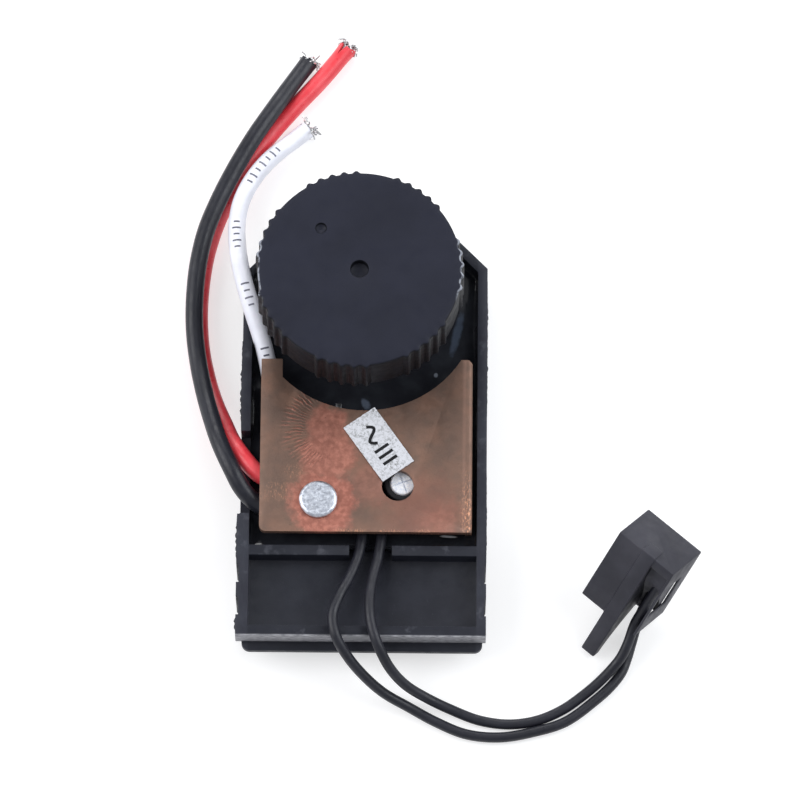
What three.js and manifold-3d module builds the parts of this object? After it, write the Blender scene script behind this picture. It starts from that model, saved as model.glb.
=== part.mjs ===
// Speed controller of a small power tool, in millimetres, +Z up.
//
// A potted circuit tray lies on its underside at z = 0, its long side along Y. A toothed thumbwheel
// turns the potentiometer at its rear, and a copper plate riveted to the triac cools it at the front.
// Three supply wires leave the tray on its left, and a speed pickup hangs on two thin leads.

import * as THREE from 'three';
import * as BufferGeometryUtils from 'three/addons/utils/BufferGeometryUtils.js';
import Module from 'manifold-3d';

const wasm = await Module();
wasm.setup();

// ---------------------------------------------------------------- driving dimensions

const REACH = 1;            // how far a cutting tool runs past the face it opens
const STACK_GAP = 0.1;      // between flat faces that lie on each other
const FIT_GAP = 0.3;        // around a piece that sits in a cut

// Moulded tray
const TRAY_WIDTH = 33;
const TRAY_LENGTH = 58;
const TRAY_HEIGHT = 8;
const SIDE_WALL = 1.3;
const END_WALL = 1.45;
const TRAY_FLOOR = 1.4;
const REAR_CHAMFER = 6.2;
const RIB_REAR = -16.4;     // divider between the potted bay and the front pocket
const RIB_FRONT = -17.8;
const POCKET_FLOOR = 5.4;
const GRIP_STRIP = 0.35;    // raised strip along the front part of the left wall
const GRIP_STRIP_REAR = -12.1;
const LIP_REACH = 1.2;      // tongue along the front wall
const LIP_BOTTOM = 4;
const LIP_TOP = 5;
const LIP_HALF_WIDTH = 16.05;
const LIP_CORNER = 1.1;
const FRONT_UNDERCUT = 2;   // the underside starts this far behind the front wall

// Potted circuit
const BOARD_BOTTOM = TRAY_FLOOR + FIT_GAP;
const BOARD_THICKNESS = 1.2;
const BOARD_TOP = BOARD_BOTTOM + BOARD_THICKNESS;
const PART_SEAT = BOARD_TOP + STACK_GAP;
const POTTING_BOTTOM = BOARD_TOP + FIT_GAP;
const POTTING_TOP = 5.5;

// Heat-sink plate
const PLATE_LEFT = -13.85;
const PLATE_RIGHT = 14.55;
const PLATE_FRONT = -14.9;
const PLATE_REAR = 9.3;
const PLATE_BOTTOM = 8.3;
const PLATE_THICKNESS = 1;
const PLATE_TOP = PLATE_BOTTOM + PLATE_THICKNESS;
const PLATE_ARC_RADIUS = 15.3;
const PLATE_ARC_X = 0;
const PLATE_ARC_Y = 17.4;
const HORN_INNER = -11;     // straight inner side of the left horn
const PLATE_SKIRT_BOTTOM = 6.1;
const RIVET_X = -6;
const RIVET_Y = -10.5;
const RIVET_HEAD_RADIUS = 2.55;
const RIVET_SHANK_RADIUS = 1.6;
const PLATE_HOLE_X = 4.6;
const PLATE_HOLE_Y = -8.4;
const PLATE_HOLE_RADIUS = 2.15;

// Potentiometer and thumbwheel
const DIAL_X = -0.7;
const DIAL_Y = 17.8;
const POT_RADIUS = 8.3;
const POT_TOP = 9.6;
const SHAFT_RADIUS = 3;
const WHEEL_BOTTOM = 14.2;
const WHEEL_TOP = 22;
const WHEEL_LAND_RADIUS = 13.6;
const WHEEL_TOOTH = 0.4;
const TOOTH_GROUPS = 7;
const TEETH_PER_GROUP = 5;
const TOOTH_PITCH = THREE.MathUtils.degToRad(6.9);
const FIRST_GROUP = THREE.MathUtils.degToRad(54.8);
const WHEEL_RIM = 1.9;
const WHEEL_WEB = 2;
const HUB_RADIUS = 4.8;

// Wires
const SUPPLY_WIRE = 2.4;
const SENSOR_WIRE = 1.4;

// Speed pickup: its own frame has X along the block, Y across it and Z out of its face
const PICKUP_CORNER = [34.1, -16.5, 15.5];
const PICKUP_YAW = THREE.MathUtils.degToRad(-130);
const PICKUP_TILT = THREE.MathUtils.degToRad(51);
const PICKUP_LENGTH = 12;
const PICKUP_WIDTH = 9.2;
const PICKUP_DEPTH = 8;

// ---------------------------------------------------------------- solids

function toSolid(geometry) {
  const bare = geometry.clone();
  bare.deleteAttribute('normal');
  bare.deleteAttribute('uv');
  const merged = BufferGeometryUtils.mergeVertices(bare, 1e-4);
  return new wasm.Manifold(new wasm.Mesh({
    numProp: 3,
    vertProperties: new Float32Array(merged.attributes.position.array),
    triVerts: new Uint32Array(merged.index.array),
  }));
}

function toGeometry(solid) {
  const mesh = solid.getMesh();
  const geometry = new THREE.BufferGeometry();
  geometry.setAttribute('position', new THREE.BufferAttribute(mesh.vertProperties, 3));
  geometry.setIndex(new THREE.BufferAttribute(mesh.triVerts, 1));
  geometry.computeVertexNormals();
  return geometry;
}

function cut(geometry, ...tools) {
  return toGeometry(tools.reduce((solid, tool) => solid.subtract(toSolid(tool)), toSolid(geometry)));
}

function join(geometry, ...others) {
  return toGeometry(others.reduce((solid, other) => solid.add(toSolid(other)), toSolid(geometry)));
}

// A block between two values on each axis.
function block([x0, x1], [y0, y1], [z0, z1]) {
  const geometry = new THREE.BoxGeometry(x1 - x0, y1 - y0, z1 - z0);
  return geometry.translate((x0 + x1) / 2, (y0 + y1) / 2, (z0 + z1) / 2);
}

// An upright cylinder.
function drum(radius, [z0, z1], [x, y] = [0, 0], sides = 32) {
  const geometry = new THREE.CylinderGeometry(radius, radius, z1 - z0, sides);
  return geometry.rotateX(Math.PI / 2).translate(x, y, (z0 + z1) / 2);
}

// A cylinder lying along X or Y.
function rod(radius, axis, [from, to], [across, z], sides = 16) {
  const geometry = new THREE.CylinderGeometry(radius, radius, to - from, sides);
  const middle = (from + to) / 2;
  if (axis === 'x') return geometry.rotateZ(Math.PI / 2).translate(middle, across, z);
  return geometry.translate(across, middle, z);
}

// A flat outline raised from z0 to z1.
function slab(shape, [z0, z1], curveSegments = 12) {
  const geometry = new THREE.ExtrudeGeometry(shape, { depth: z1 - z0, bevelEnabled: false, curveSegments });
  return geometry.translate(0, 0, z0);
}

function outline(points) {
  return new THREE.Shape(points.map(([x, y]) => new THREE.Vector2(x, y)));
}

// A round cord through the points of its route, with a step every two diameters.
function cord(points, diameter) {
  const path = new THREE.CatmullRomCurve3(points.map((p) => new THREE.Vector3(...p)));
  const section = new THREE.Shape().absarc(0, 0, diameter / 2, 0, 2 * Math.PI);
  const steps = Math.round(path.getLength() / (2 * diameter));
  return new THREE.ExtrudeGeometry(section, { extrudePath: path, steps, curveSegments: 8 });
}

// ---------------------------------------------------------------- materials and scene graph

function finish(color, roughness, metalness = 0) {
  return new THREE.MeshStandardMaterial({ color, roughness, metalness });
}

const MATERIALS = {
  tray: finish(0x2b2b30, 0.62),
  potting: finish(0x101216, 0.12),
  board: finish(0x2f5a34, 0.55),
  copper: finish(0x86604f, 0.45, 0.8),
  zinc: finish(0xb9bcc0, 0.35, 0.9),
  tin: finish(0xa6a8aa, 0.4, 0.9),
  epoxy: finish(0x17181a, 0.5),
  aluminium: finish(0xb4b6ba, 0.4, 0.9),
  film: finish(0x9a7a2c, 0.45),
  ceramic: finish(0x7fa2b0, 0.6),
  carbon: finish(0x141414, 0.7),
  wheel: finish(0x26272d, 0.55),
  paper: finish(0xe9e9ea, 0.8),
  blackPvc: finish(0x303238, 0.42),
  redPvc: finish(0xd8323a, 0.4),
  whitePvc: finish(0xe6e6ec, 0.4),
  strands: finish(0x9fa09f, 0.35, 0.9),
  pickup: finish(0x2a2a2c, 0.7),
  winding: finish(0x8a3f22, 0.4, 0.4),
  iron: finish(0x6d6f72, 0.5, 0.9),
};

const controller = new THREE.Group();

function part(name, geometry, material, parent = controller) {
  const mesh = new THREE.Mesh(geometry, MATERIALS[material]);
  mesh.name = name;
  parent.add(mesh);
  return mesh;
}

// ---------------------------------------------------------------- tray

// Plan outline of the tray moved inwards by an inset, from a front line to the rear wall.
function trayOutline(inset, front) {
  const side = TRAY_WIDTH / 2 - inset;
  const rear = TRAY_LENGTH / 2 - inset;
  const corner = REAR_CHAMFER - inset * (2 - Math.SQRT2);
  return outline([
    [-side, front],
    [side, front],
    [side, rear - corner],
    [side - corner, rear],
    [corner - side, rear],
    [-side, rear - corner],
  ]);
}

function makeTray() {
  const half = TRAY_WIDTH / 2;
  const front = -TRAY_LENGTH / 2;
  const body = slab(trayOutline(0, front), [0, TRAY_HEIGHT]);
  const strip = block([-half - GRIP_STRIP, -half + REACH], [front, GRIP_STRIP_REAR], [0, TRAY_HEIGHT]);
  const cornerX = LIP_HALF_WIDTH - LIP_CORNER;
  const cornerY = front - LIP_REACH + LIP_CORNER;
  const tongueShape = new THREE.Shape()
    .moveTo(-LIP_HALF_WIDTH, front + REACH)
    .lineTo(-LIP_HALF_WIDTH, cornerY)
    .absarc(-cornerX, cornerY, LIP_CORNER, Math.PI, 1.5 * Math.PI)
    .absarc(cornerX, cornerY, LIP_CORNER, 1.5 * Math.PI, 2 * Math.PI)
    .lineTo(LIP_HALF_WIDTH, front + REACH);
  const tongue = slab(tongueShape, [LIP_BOTTOM, LIP_TOP], 5);
  const over = TRAY_HEIGHT + REACH;
  const bay = slab(trayOutline(SIDE_WALL, RIB_REAR), [TRAY_FLOOR, over]);
  const inner = half - SIDE_WALL;
  const pocket = block([-inner, inner], [front + END_WALL, RIB_FRONT], [POCKET_FLOOR, over]);
  const leadGap = block([-1.8, 3.9], [RIB_FRONT - REACH, RIB_REAR + REACH], [POCKET_FLOOR, over]);
  const supplyNotch = block([-half - REACH, -inner + FIT_GAP], [-12, -0.5], [4.9, over]);
  const whiteNotch = block([-half - REACH, -inner + FIT_GAP], [12.2, 24.6], [5.3, over]);
  const lowFront = [front - REACH, front + FRONT_UNDERCUT];
  const undercut = block([-half - REACH, half + REACH], lowFront, [-REACH, LIP_BOTTOM]);
  const cornerCuts = [-1, 1].map((side) => {
    const across = [side * LIP_HALF_WIDTH, side * (half + REACH)].sort((a, b) => a - b);
    return block(across, lowFront, [-REACH, LIP_TOP]);
  });
  const gripNotches = [[-21.6, -19.1], [-26.1, -23.6]].flatMap((along) => [
    block([-half - REACH, -half], along, [-REACH, over]),
    block([half - 0.2, half + REACH], along, [-REACH, over]),
  ]);
  const openings = [bay, pocket, leadGap, supplyNotch, whiteNotch];
  return cut(join(body, strip, tongue), ...openings, undercut, ...cornerCuts, ...gripNotches);
}

// ---------------------------------------------------------------- wires

const BLACK_ROUTE = [
  [-12.6, -11.1, 6.8], [-14.3, -10.3, 6.85], [-16.2, -8.5, 7.6], [-17.7, -5.8, 8.15], [-19.3, -2.2, 7.7],
  [-20.5, 1.6, 6.4], [-21.6, 5.8, 5.1], [-22.5, 10.2, 4.2], [-23.1, 14.8, 3.9], [-23.2, 19.5, 3.9],
  [-22.8, 24.6, 3.9], [-21.8, 29.4, 3.9], [-20.2, 33.7, 3.9], [-18.1, 38.2, 3.9], [-15.6, 42.8, 3.9],
  [-13.1, 46.9, 3.5], [-10.8, 50.7, 2.6], [-8.1, 55.0, 1.6],
];
const RED_ROUTE = [
  [-12.7, -7.1, 6.9], [-14.4, -5.9, 7.0], [-16.0, -4.1, 6.9], [-17.7, -1.3, 5.6], [-18.9, 1.7, 3.9],
  [-20.2, 5.0, 2.5], [-21.3, 8.6, 1.6], [-22.2, 12.8, 1.3], [-22.6, 17.6, 1.25], [-22.4, 22.6, 1.25],
  [-21.7, 27.2, 1.25], [-20.4, 31.6, 1.25], [-18.5, 35.9, 1.25], [-16.1, 40.4, 1.25], [-13.2, 44.5, 1.25],
  [-9.9, 48.5, 1.25], [-6.3, 52.6, 1.25], [-2.9, 57.0, 1.25],
];
const WHITE_ROUTE = [
  [-12.6, 7.0, 6.85], [-13.2, 10.0, 7.0], [-14.1, 13.3, 7.3], [-15.2, 16.7, 7.4], [-16.2, 20.0, 7.15],
  [-17.0, 23.4, 6.5], [-17.5, 26.9, 5.5], [-17.6, 30.2, 4.6], [-17.1, 33.4, 4.1], [-15.9, 36.3, 3.8],
  [-14.1, 39.1, 3.3], [-12.1, 41.5, 2.3], [-10.3, 43.3, 1.5], [-8.5, 44.9, 1.25],
];
const LEAD_1_ROUTE = [
  [-0.1, -11.9, 6.4], [-0.1, -14.6, 6.5], [-0.6, -17.6, 7.0], [-1.6, -20.6, 7.9], [-3.0, -23.6, 8.8],
  [-3.9, -26.6, 9.1], [-3.4, -29.3, 9.0], [-1.8, -31.7, 7.3], [0.4, -33.7, 5.0], [3.0, -35.4, 2.9],
  [6.3, -36.9, 1.4], [10.0, -38.8, 0.85], [14.0, -40.4, 0.75], [18.5, -40.8, 0.75], [23.0, -40.0, 0.75],
  [27.2, -38.6, 0.75], [31.2, -35.6, 0.75], [33.3, -33.6, 0.75], [34.7, -31.7, 0.75], [35.4, -29.9, 0.8],
  [36.0, -27.9, 1.2], [36.6, -25.9, 2.2], [37.3, -24.2, 3.9], [38.4, -22.6, 6.1], [39.6, -21.2, 8.5],
];
const LEAD_2_ROUTE = [
  [2.6, -11.9, 6.4], [2.5, -14.6, 6.5], [2.1, -17.7, 7.0], [1.4, -20.9, 7.9], [1.0, -24.2, 8.8],
  [1.2, -27.3, 9.1], [2.1, -30.2, 8.7], [3.7, -32.8, 6.4], [5.8, -34.5, 4.0], [8.6, -35.7, 1.9],
  [12.0, -37.1, 0.95], [15.8, -38.5, 0.75], [19.8, -39.0, 0.75], [23.6, -38.4, 0.75], [26.9, -36.9, 0.75],
  [29.4, -35.1, 0.8], [31.5, -33.35, 1.1], [33.3, -31.6, 1.7], [34.6, -30.1, 2.5], [35.5, -28.4, 3.5],
  [36.4, -26.1, 4.95], [37.5, -24.7, 7.0], [38.6, -23.4, 9.1], [39.7, -22.1, 11.1],
];

// Bare strands, a short bundle past the cut end of the insulation, in line with it.
function strandBundle(route, length) {
  const [before, end] = route.slice(-2).map((p) => new THREE.Vector3(...p));
  const along = end.clone().sub(before).normalize();
  const geometry = new THREE.CylinderGeometry(0.6, 0.7, length, 8);
  geometry.applyQuaternion(new THREE.Quaternion().setFromUnitVectors(new THREE.Vector3(0, 1, 0), along));
  const middle = end.clone().addScaledVector(along, FIT_GAP + length / 2);
  return geometry.translate(middle.x, middle.y, middle.z);
}

// ---------------------------------------------------------------- components on the board

const LEAD_SPREAD = 2.54;
const TRIAC = { x: [-11.1, -0.9], y: [-6.8, 2.4], z: [PART_SEAT + 0.5, PLATE_BOTTOM - STACK_GAP] };
const TRIAC_TAB = { x: TRIAC.x, y: [-13.4, TRIAC.y[0] - STACK_GAP], z: [TRIAC.z[1] - 1.3, TRIAC.z[1]] };
const CAN = { x: 5.3, y: -7.6, radius: 2.15, top: 8.1 };
const SLEEVE = { inner: 2.25, outer: 2.6, top: 7.8 };
const FILM = { x: [8.8, 12.9], y: [-13.8, -5], z: [PART_SEAT, 7.8] };
const CHIP = { x: [1.8, 6.8], y: [-3.6, 1.4], z: [PART_SEAT, 4.6] };
const RESISTOR = { x: 10.9, y: [-3, 4], z: 4.1, radius: 0.95 };
const DIODE = { x: -12.7, y: [-4, 1.2], z: 4.1, radius: 0.95 };

function makeTriacLead(x) {
  const high = TRIAC.z[0] + 1.5;
  const reach = block([x - 0.4, x + 0.4], [TRIAC.y[1] + STACK_GAP, TRIAC.y[1] + 1.9], [high, high + 0.5]);
  const leg = block([x - 0.4, x + 0.4], [TRIAC.y[1] + 1.4, TRIAC.y[1] + 1.9], [PART_SEAT, high + 0.5]);
  return join(reach, leg);
}

function makeTriacTab() {
  const through = [TRIAC_TAB.z[0] - REACH, TRIAC_TAB.z[1] + REACH];
  const hole = drum(RIVET_SHANK_RADIUS + FIT_GAP, through, [RIVET_X, RIVET_Y], 24);
  return cut(block(TRIAC_TAB.x, TRIAC_TAB.y, TRIAC_TAB.z), hole);
}

function makeBoard() {
  return slab(trayOutline(SIDE_WALL + FIT_GAP, RIB_REAR + FIT_GAP), [BOARD_BOTTOM, BOARD_TOP]);
}

// Potting resin over the board, open around everything that stands in it.
function makePotting() {
  const wide = ([from, to]) => [from - FIT_GAP, to + FIT_GAP];
  const down = POTTING_BOTTOM - REACH;
  const up = POTTING_TOP + REACH;
  const resin = slab(trayOutline(SIDE_WALL + FIT_GAP, RIB_REAR + FIT_GAP), [POTTING_BOTTOM, POTTING_TOP]);
  const leadLegs = block(wide([-9.3, -2.7]), [TRIAC.y[1] - REACH, TRIAC.y[1] + 2.3], [down, up]);
  const buried = [
    block(wide(CHIP.x), wide(CHIP.y), [down, CHIP.z[1] + FIT_GAP]),
    rodPocket(RESISTOR, down),
    rodPocket(DIODE, down),
  ];
  const standing = [
    block(wide(TRIAC.x), wide(TRIAC.y), [down, up]),
    block(wide(FILM.x), wide(FILM.y), [down, up]),
    drum(SLEEVE.outer + FIT_GAP, [down, up], [CAN.x, CAN.y], 24),
    drum(POT_RADIUS + FIT_GAP, [down, up], [DIAL_X, DIAL_Y], 32),
    block([DIAL_X - 5, DIAL_X + 5], [DIAL_Y - POT_RADIUS - 2.2, DIAL_Y], [down, up]),
  ];
  return cut(resin, leadLegs, ...buried, ...standing);
}

function rodPocket({ x, y, radius }, down) {
  const side = radius + FIT_GAP;
  return block([x - side, x + side], [y[0] - FIT_GAP, y[1] + FIT_GAP], [down, POTTING_TOP - 0.1]);
}

// ---------------------------------------------------------------- heat-sink plate

function makePlate() {
  const corner = 0.9;
  const start = Math.PI + Math.acos((PLATE_ARC_X - HORN_INNER) / PLATE_ARC_RADIUS);
  const end = 1.5 * Math.PI + Math.asin(13 / PLATE_ARC_RADIUS);
  const shape = new THREE.Shape()
    .moveTo(PLATE_LEFT + corner, PLATE_FRONT)
    .lineTo(PLATE_RIGHT - 0.2, PLATE_FRONT)
    .lineTo(PLATE_RIGHT, PLATE_FRONT + 0.2)
    .lineTo(PLATE_RIGHT, PLATE_REAR - 0.5)
    .lineTo(PLATE_RIGHT - 0.5, PLATE_REAR);
  const arc = [];
  const arcSteps = 22;
  for (let i = 0; i <= arcSteps; i += 1) {
    const angle = THREE.MathUtils.lerp(end, start, i / arcSteps);
    const x = PLATE_ARC_X + PLATE_ARC_RADIUS * Math.cos(angle);
    arc.push([x, PLATE_ARC_Y + PLATE_ARC_RADIUS * Math.sin(angle)]);
  }
  arc.forEach(([x, y]) => shape.lineTo(x, y));
  shape.lineTo(HORN_INNER, PLATE_REAR);
  shape.lineTo(PLATE_LEFT, PLATE_REAR);
  shape.lineTo(PLATE_LEFT, PLATE_FRONT + corner);
  shape.absarc(PLATE_LEFT + corner, PLATE_FRONT + corner, corner, Math.PI, 1.5 * Math.PI);
  const sheet = slab(shape, [PLATE_BOTTOM, PLATE_TOP], 5);
  const skirtHeight = [PLATE_SKIRT_BOTTOM, PLATE_BOTTOM + PLATE_THICKNESS / 2];
  const skirt = block([PLATE_RIGHT - 0.9, PLATE_RIGHT], [PLATE_FRONT + 0.5, 6.5], skirtHeight);
  const through = [PLATE_BOTTOM - REACH, PLATE_TOP + REACH];
  return cut(
    join(sheet, skirt),
    drum(RIVET_SHANK_RADIUS + FIT_GAP, through, [RIVET_X, RIVET_Y], 24),
    drum(PLATE_HOLE_RADIUS, through, [PLATE_HOLE_X, PLATE_HOLE_Y], 24),
  );
}

// A rivet turned about its own axis: low domed head above the plate, clenched head under the triac tab.
function makeRivet() {
  const headSeat = PLATE_TOP + STACK_GAP;
  const clenchTop = TRIAC_TAB.z[0] - STACK_GAP;
  const profile = [
    [0, clenchTop - 0.9],
    [2.1, clenchTop - 0.9],
    [2.4, clenchTop - 0.6],
    [2.4, clenchTop],
    [RIVET_SHANK_RADIUS, clenchTop],
    [RIVET_SHANK_RADIUS, headSeat],
    [RIVET_HEAD_RADIUS, headSeat],
    [RIVET_HEAD_RADIUS, headSeat + 0.35],
    [RIVET_HEAD_RADIUS - 0.35, headSeat + 0.65],
    [0, headSeat + 0.75],
  ];
  const geometry = new THREE.LatheGeometry(profile.map(([r, z]) => new THREE.Vector2(r, z)), 24);
  return geometry.rotateX(Math.PI / 2).translate(RIVET_X, RIVET_Y, 0);
}

function makeLabel() {
  const geometry = new THREE.BoxGeometry(9.2, 5.1, 0.15);
  geometry.rotateZ(THREE.MathUtils.degToRad(-54.5));
  return geometry.translate(2, -2.7, PLATE_TOP + STACK_GAP + 0.075);
}

// ---------------------------------------------------------------- potentiometer

function makePotHousing() {
  const cup = drum(POT_RADIUS, [PART_SEAT, POT_TOP], [DIAL_X, DIAL_Y]);
  const hollow = drum(POT_RADIUS - 1.1, [PART_SEAT + 1, POT_TOP + REACH], [DIAL_X, DIAL_Y]);
  return cut(cup, hollow);
}

function makePotCover() {
  const lid = drum(POT_RADIUS, [POT_TOP + STACK_GAP, POT_TOP + 0.9], [DIAL_X, DIAL_Y]);
  const bushing = drum(4.2, [POT_TOP + 0.5, WHEEL_BOTTOM - 1.4], [DIAL_X, DIAL_Y]);
  const bore = drum(SHAFT_RADIUS + 0.2, [POT_TOP - REACH, WHEEL_BOTTOM], [DIAL_X, DIAL_Y]);
  return cut(join(lid, bushing), bore);
}

function makeResistiveTrack() {
  const low = PART_SEAT + 1 + STACK_GAP;
  const ring = drum(6.6, [low, low + 0.5], [DIAL_X, DIAL_Y]);
  const bore = drum(4.4, [low - REACH, low + REACH], [DIAL_X, DIAL_Y]);
  const gap = block([DIAL_X - 1.4, DIAL_X + 1.4], [DIAL_Y - 8, DIAL_Y - 3], [low - REACH, low + REACH]);
  return cut(ring, bore, gap);
}

function makeTerminal(x) {
  const front = DIAL_Y - POT_RADIUS;
  const foot = block([x - 0.5, x + 0.5], [front - 1.6, front - 0.15], [PART_SEAT, PART_SEAT + 0.4]);
  const post = block([x - 0.5, x + 0.5], [front - 1.6, front - 1.2], [PART_SEAT, PART_SEAT + 2.4]);
  return join(foot, post);
}

function makeWiper() {
  const low = PART_SEAT + 1.9;
  const arm = block([DIAL_X - 1.2, DIAL_X + 1.2], [DIAL_Y - 6.2, DIAL_Y + 6.2], [low + 0.5, low + 1.1]);
  const boss = drum(4.2, [low + 0.5, low + 1.7], [DIAL_X, DIAL_Y], 24);
  const shoe = block([DIAL_X - 0.8, DIAL_X + 0.8], [DIAL_Y + 5, DIAL_Y + 6.2], [low, low + 0.7]);
  const bore = drum(SHAFT_RADIUS + STACK_GAP, [low - REACH, low + 3], [DIAL_X, DIAL_Y], 24);
  return cut(join(arm, boss, shoe), bore);
}

// ---------------------------------------------------------------- thumbwheel

// Radius of the rim at an angle: smooth lands between groups of rounded teeth.
function rimRadius(angle) {
  const step = (2 * Math.PI) / TOOTH_GROUPS;
  const offset = angle - FIRST_GROUP;
  const fromGroup = offset - step * Math.round(offset / step);
  const inTeeth = Math.abs(fromGroup) < (TEETH_PER_GROUP / 2) * TOOTH_PITCH;
  const wave = inTeeth ? Math.max(0, Math.cos((2 * Math.PI * fromGroup) / TOOTH_PITCH) * 0.6 + 0.4) : 0;
  return WHEEL_LAND_RADIUS + WHEEL_TOOTH * wave;
}

function makeThumbwheel() {
  const rimPoints = 210;
  const points = [];
  for (let i = 0; i < rimPoints; i += 1) {
    const angle = FIRST_GROUP + (2 * Math.PI * i) / rimPoints;
    points.push([DIAL_X + rimRadius(angle) * Math.cos(angle), DIAL_Y + rimRadius(angle) * Math.sin(angle)]);
  }
  const centre = [DIAL_X, DIAL_Y];
  const wheel = slab(outline(points), [WHEEL_BOTTOM, WHEEL_TOP]);
  const webBottom = WHEEL_TOP - WHEEL_WEB;
  const cup = drum(WHEEL_LAND_RADIUS - WHEEL_RIM, [WHEEL_BOTTOM - REACH, webBottom], centre, 48);
  const hub = drum(HUB_RADIUS, [WHEEL_BOTTOM, webBottom + 0.5], centre);
  const bore = drum(SHAFT_RADIUS + STACK_GAP, [WHEEL_BOTTOM - REACH, WHEEL_TOP - 1.9], centre);
  const screwHole = drum(1.15, [WHEEL_TOP - 1.2, WHEEL_TOP + REACH], centre, 16);
  const dimpleAngle = THREE.MathUtils.degToRad(132.4);
  const dimpleAt = [DIAL_X + 7.7 * Math.cos(dimpleAngle), DIAL_Y + 7.7 * Math.sin(dimpleAngle)];
  const dimple = drum(0.7, [WHEEL_TOP - 0.5, WHEEL_TOP + REACH], dimpleAt, 12);
  return cut(join(cut(wheel, cup), hub), bore, screwHole, dimple);
}

// ---------------------------------------------------------------- speed pickup

const CHEEK = { y: [3.9, 6], proud: 0.3, reach: 18.9, tip: 1.1, root: 5, wrap: 2.2 };
const RECESS = { y: [6, 8.85], rear: 1.4, depth: 5.6 };
const LEAD_SLOT = { y: [7.6, 8.85], rear: 3.2 };
const SIDE_WINDOW = { x: [3.6, 8.8], z: [-5.5, -0.6] };
const COIL_AT = [5.6, 3];

// The long cheek: a strip that wraps over the block's rear edge, runs along its face and reaches past
// its front, where its underside curves up to the tip. Drawn with depth below the face upwards.
function makeCheek() {
  const shape = new THREE.Shape()
    .moveTo(-CHEEK.proud, CHEEK.wrap)
    .lineTo(-CHEEK.proud, -CHEEK.proud)
    .lineTo(CHEEK.reach, -CHEEK.proud)
    .lineTo(CHEEK.reach, CHEEK.tip)
    .quadraticCurveTo(15.6, 1.6, PICKUP_LENGTH, CHEEK.root)
    .lineTo(REACH, CHEEK.wrap);
  return slab(shape, CHEEK.y, 6).rotateX(-Math.PI / 2);
}

function makePickupHousing() {
  const body = block([0, PICKUP_LENGTH], [0, PICKUP_WIDTH], [-PICKUP_DEPTH, 0]);
  const front = PICKUP_LENGTH + REACH;
  const recess = block([RECESS.rear, front], RECESS.y, [-RECESS.depth, REACH]);
  const slot = block([LEAD_SLOT.rear, front], LEAD_SLOT.y, [-PICKUP_DEPTH - REACH, REACH]);
  const window = block(SIDE_WINDOW.x, [RECESS.y[1] - REACH, PICKUP_WIDTH + REACH], SIDE_WINDOW.z);
  const cavity = block([2, 9.2], [0.9, 5.1], [-PICKUP_DEPTH - REACH, -2.2]);
  return cut(join(cut(body, recess, slot), makeCheek()), window, cavity);
}

function makePickupCoil() {
  const coil = drum(1.95, [-7, -2.6], COIL_AT, 20);
  return cut(coil, drum(0.95, [-8, -1], COIL_AT, 12));
}

// ---------------------------------------------------------------- assembly

part('tray', makeTray(), 'tray');
part('circuit_board', makeBoard(), 'board');
part('potting_compound', makePotting(), 'potting');

part('triac_body', block(TRIAC.x, TRIAC.y, TRIAC.z), 'epoxy');
part('triac_tab', makeTriacTab(), 'tin');
[-1, 0, 1].forEach((side, i) => {
  part(`triac_lead_${i + 1}`, makeTriacLead(RIVET_X + side * LEAD_SPREAD), 'tin');
});
part('filter_capacitor_can', drum(CAN.radius, [PART_SEAT, CAN.top], [CAN.x, CAN.y], 24), 'aluminium');
part('filter_capacitor_sleeve', cut(
  drum(SLEEVE.outer, [PART_SEAT, SLEEVE.top], [CAN.x, CAN.y], 24),
  drum(SLEEVE.inner, [PART_SEAT - REACH, SLEEVE.top + REACH], [CAN.x, CAN.y], 24),
), 'epoxy');
part('film_capacitor', block(FILM.x, FILM.y, FILM.z), 'film');
part('control_chip', block(CHIP.x, CHIP.y, CHIP.z), 'epoxy');
part('dropper_resistor', rod(RESISTOR.radius, 'y', RESISTOR.y, [RESISTOR.x, RESISTOR.z]), 'ceramic');
part('diode', rod(DIODE.radius, 'y', DIODE.y, [DIODE.x, DIODE.z]), 'epoxy');

part('heat_sink_plate', makePlate(), 'copper');
part('heat_sink_rivet', makeRivet(), 'zinc');
part('rating_label', makeLabel(), 'paper');

part('pot_housing', makePotHousing(), 'epoxy');
part('pot_cover', makePotCover(), 'tin');
part('resistive_track', makeResistiveTrack(), 'carbon');
[-1, 0, 1].forEach((side, i) => {
  part(`pot_terminal_${i + 1}`, makeTerminal(DIAL_X + side * 3), 'tin');
});
part('pot_shaft', drum(SHAFT_RADIUS, [PART_SEAT + 1.4, WHEEL_TOP - 2], [DIAL_X, DIAL_Y]), 'tin');
part('wiper', makeWiper(), 'tin');
part('thumbwheel', makeThumbwheel(), 'wheel');

part('black_wire', cord(BLACK_ROUTE, SUPPLY_WIRE), 'blackPvc');
part('red_wire', cord(RED_ROUTE, SUPPLY_WIRE), 'redPvc');
part('white_wire', cord(WHITE_ROUTE, SUPPLY_WIRE), 'whitePvc');
part('black_wire_strands', strandBundle(BLACK_ROUTE, 1.2), 'strands');
part('red_wire_strands', strandBundle(RED_ROUTE, 1.2), 'strands');
part('white_wire_strands', strandBundle(WHITE_ROUTE, 1.2), 'strands');
part('sensor_lead_1', cord(LEAD_1_ROUTE, SENSOR_WIRE), 'blackPvc');
part('sensor_lead_2', cord(LEAD_2_ROUTE, SENSOR_WIRE), 'blackPvc');

const pickup = new THREE.Group();
pickup.position.set(...PICKUP_CORNER);
pickup.rotation.set(0, PICKUP_TILT, PICKUP_YAW, 'ZYX');
controller.add(pickup);
part('pickup_housing', makePickupHousing(), 'pickup', pickup);
part('pickup_coil', makePickupCoil(), 'winding', pickup);
part('pickup_pole', drum(0.65, [-7.8, -2.5], COIL_AT, 12), 'iron', pickup);

export default controller;
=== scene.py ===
import math
import random

import bmesh
import bpy
from mathutils import Matrix, Vector, noise


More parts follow.
